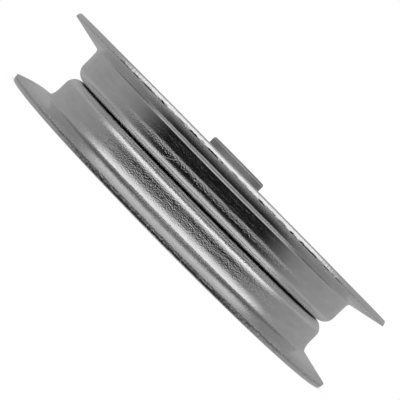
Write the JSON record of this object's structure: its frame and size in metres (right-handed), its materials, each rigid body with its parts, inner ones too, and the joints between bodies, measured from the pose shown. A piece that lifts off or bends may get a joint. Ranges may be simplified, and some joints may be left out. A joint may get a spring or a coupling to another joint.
{
  "type": "flanged idler pulley",
  "caption": "Flanged flat-belt idler pulley: pressed steel halves riveted back to back around a sealed ball bearing, with turned spacers that take a bolt.",
  "frame": {"origin": "on the bore's axis, in the plane where the two pressed halves meet", "axes": "+Z along the bore, to the side of the long spacer; the part is round about Z and rests on the rim of the lower flange"},
  "size_m": [0.1396, 0.1396, 0.0329],
  "materials": {
    "zinc_sheet": "bright zinc plating over pressed sheet steel, finely grained",
    "rivet_steel": "zinc plated",
    "bearing_steel": "ground bearing steel",
    "ball_steel": "polished",
    "cage_steel": "plain pressed steel",
    "seal_rubber": "matte",
    "spacer_steel": "turned, dull zinc plated"
  },
  "bodies": {
    "hub": {"bearing_inner_ring": "bearing_steel", "upper_spacer": "spacer_steel", "lower_spacer": "spacer_steel"},
    "pulley": {"upper_half": "zinc_sheet", "lower_half": "zinc_sheet", "rivets": "rivet_steel", "bearing_outer_ring": "bearing_steel", "upper_seal": "seal_rubber", "lower_seal": "seal_rubber"},
    "cage": {"cage_upper": "cage_steel", "cage_lower": "cage_steel", "cage_rivets": "cage_steel", "ball_1": "ball_steel", "ball_2": "ball_steel", "ball_3": "ball_steel", "ball_4": "ball_steel", "ball_5": "ball_steel", "ball_6": "ball_steel", "ball_7": "ball_steel", "ball_8": "ball_steel"}
  },
  "joints": [
    {"name": "pulley_spin", "type": "hinge", "parent": "hub", "child": "pulley", "pos_m": [0, 0, 0], "axis": [0, 0, 1], "continuous": true},
    {"name": "cage_spin", "type": "hinge", "parent": "hub", "child": "cage", "pos_m": [0, 0, 0], "axis": [0, 0, 1], "continuous": true}
  ],
  "couplings": [
    {"joint": "cage_spin", "follows": "pulley_spin", "ratio": 0.61837}
  ]
}
